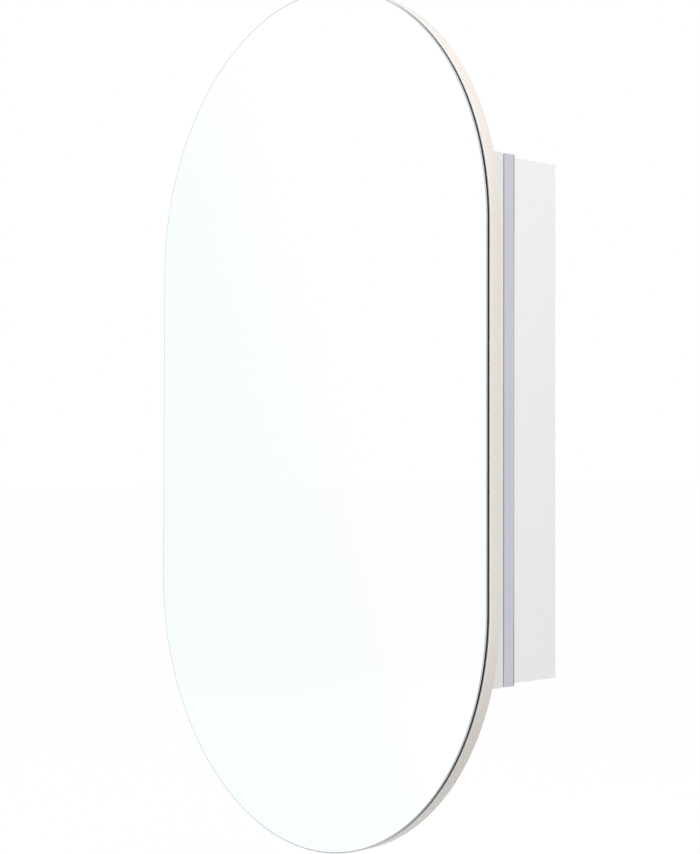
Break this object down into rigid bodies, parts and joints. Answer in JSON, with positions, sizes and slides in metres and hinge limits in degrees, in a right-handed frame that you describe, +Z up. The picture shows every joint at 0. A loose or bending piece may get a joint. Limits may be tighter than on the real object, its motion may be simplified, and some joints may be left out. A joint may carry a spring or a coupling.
{
  "type": "shaving cabinet",
  "caption": "Wall-hung shaving cabinet: shallow white box with glass shelves behind an oversize pill-shaped mirror door on butt hinges, with a magnetic catch.",
  "frame": {"origin": "centre of the cabinet's back face, on the wall", "axes": "+X to the right as seen from the front, +Y back into the wall, +Z up"},
  "size_m": [0.6, 0.121, 0.9998],
  "materials": {
    "mirror": "silvered glass",
    "bonding_tape": "foam",
    "white_board": "satin white lacquer on board",
    "edge_band": "satin",
    "front_trim": "satin anodised",
    "hinge_steel": "nickel plated",
    "zinc_screw": "bright zinc plated",
    "zinc_fitting": "die cast",
    "beech_dowel": "turned",
    "white_plastic": "moulded",
    "shelf_glass": "polished",
    "magnet": "sintered",
    "clear_bumper": "soft clear"
  },
  "bodies": {
    "cabinet": {"hinge_screws_frame": "zinc_screw", "side_panel_left": "white_board", "side_panel_right": "white_board", "top_panel": "white_board", "bottom_panel": "white_board", "back_panel": "white_board", "back_panel_screws": "zinc_screw", "hanging_rail_upper": "white_board", "hanging_rail_lower": "white_board", "rail_dowels": "beech_dowel", "corner_dowels": "beech_dowel", "cam_locks": "zinc_fitting", "cam_bolts": "zinc_fitting", "cam_covers": "white_plastic", "glass_shelf_upper": "shelf_glass", "glass_shelf_lower": "shelf_glass", "shelf_pins_upper": "hinge_steel", "shelf_pins_lower": "hinge_steel", "catch_housing": "white_plastic", "catch_magnet": "magnet", "catch_screws": "zinc_screw", "door_bumpers": "clear_bumper", "front_trim_left": "front_trim", "front_trim_right": "front_trim", "front_trim_top": "front_trim", "front_trim_bottom": "front_trim", "hinge_leaf_frame_upper": "hinge_steel", "hinge_pin_upper": "hinge_steel", "hinge_leaf_frame_middle": "hinge_steel", "hinge_pin_middle": "hinge_steel", "hinge_leaf_frame_lower": "hinge_steel", "hinge_pin_lower": "hinge_steel"},
    "door": {"mirror_glass": "mirror", "mirror_tape": "bonding_tape", "door_board": "white_board", "door_edge_band": "edge_band", "carrier_panel": "white_board", "carrier_screws": "zinc_screw", "hinge_screws_door": "zinc_screw", "strike_plate": "hinge_steel", "strike_screws": "zinc_screw", "hinge_leaf_door_upper": "hinge_steel", "hinge_leaf_door_middle": "hinge_steel", "hinge_leaf_door_lower": "hinge_steel"}
  },
  "joints": [
    {"name": "door_hinge", "type": "hinge", "parent": "cabinet", "child": "door", "pos_m": [-0.28885, -0.082, 0], "axis": [0, 0, -1], "range_deg": [0, 110]}
  ]
}
